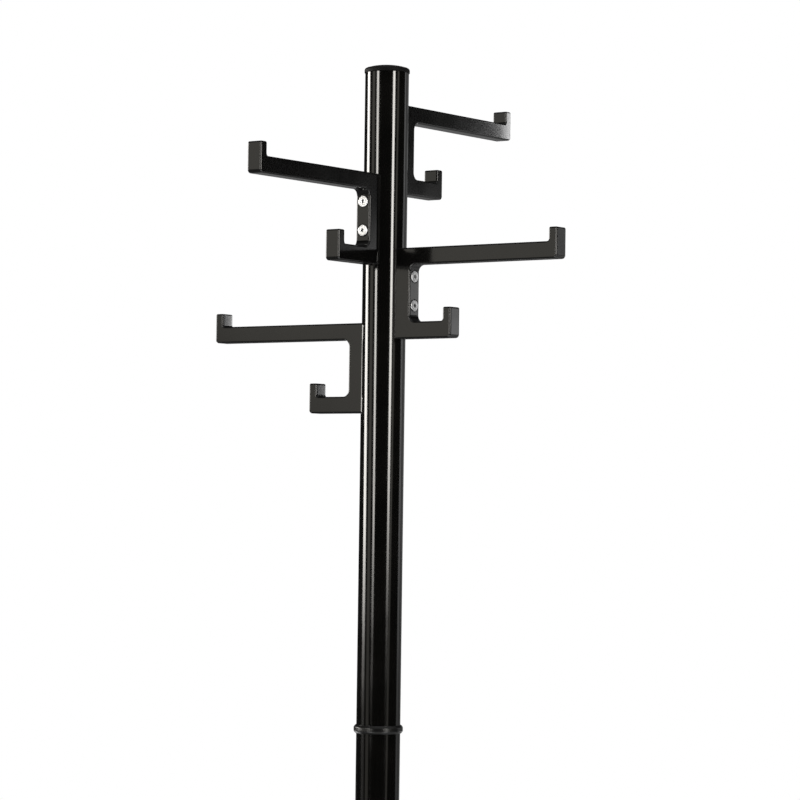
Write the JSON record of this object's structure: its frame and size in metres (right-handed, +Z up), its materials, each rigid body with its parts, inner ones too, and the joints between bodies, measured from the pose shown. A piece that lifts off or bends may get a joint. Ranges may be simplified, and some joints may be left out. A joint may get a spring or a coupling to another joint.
{
  "type": "standing coat rack",
  "caption": "Free-standing coat rack: a round two-piece black column on a disc base, with double-armed hooks screwed to it a quarter turn apart, stepping down the column.",
  "frame": {"origin": "on the floor at the column axis, the centre of the bottom of the bounding box", "axes": "+Z up along the column; +X along the third hook from the top (right), -X the lowest hook (left), +Y the highest hook (back), -Y the second hook (front)"},
  "size_m": [0.48, 0.48, 1.75],
  "materials": {
    "tube_paint": "gloss black powder coat",
    "base_paint": "satin black powder coat, fine orange peel",
    "hook_plastic": "satin moulded black",
    "ring_plastic": "satin moulded black",
    "cap_plastic": "satin moulded black",
    "bright_screws": "bright zinc plated",
    "zinc_steel": "dull zinc plated",
    "bare_steel": "turned",
    "pad_rubber": "matt"
  },
  "bodies": {
    "root": {"top_cap": "cap_plastic", "upper_tube": "tube_paint", "joint_ring": "ring_plastic", "lower_tube": "tube_paint", "upper_joint_plug": "bare_steel", "lower_joint_plug": "bare_steel", "joint_stud": "zinc_steel", "hook_back": "hook_plastic", "hook_front": "hook_plastic", "hook_right": "hook_plastic", "hook_left": "hook_plastic", "screws_back": "bright_screws", "screws_front": "bright_screws", "screws_right": "bright_screws", "screws_left": "bright_screws", "rivet_nuts_back": "zinc_steel", "rivet_nuts_front": "zinc_steel", "rivet_nuts_right": "zinc_steel", "rivet_nuts_left": "zinc_steel", "base_collar": "ring_plastic", "base_plate": "base_paint", "foot_plug": "bare_steel", "base_bolt": "zinc_steel", "base_washer": "zinc_steel", "floor_pads": "pad_rubber"}
  },
  "joints": []
}
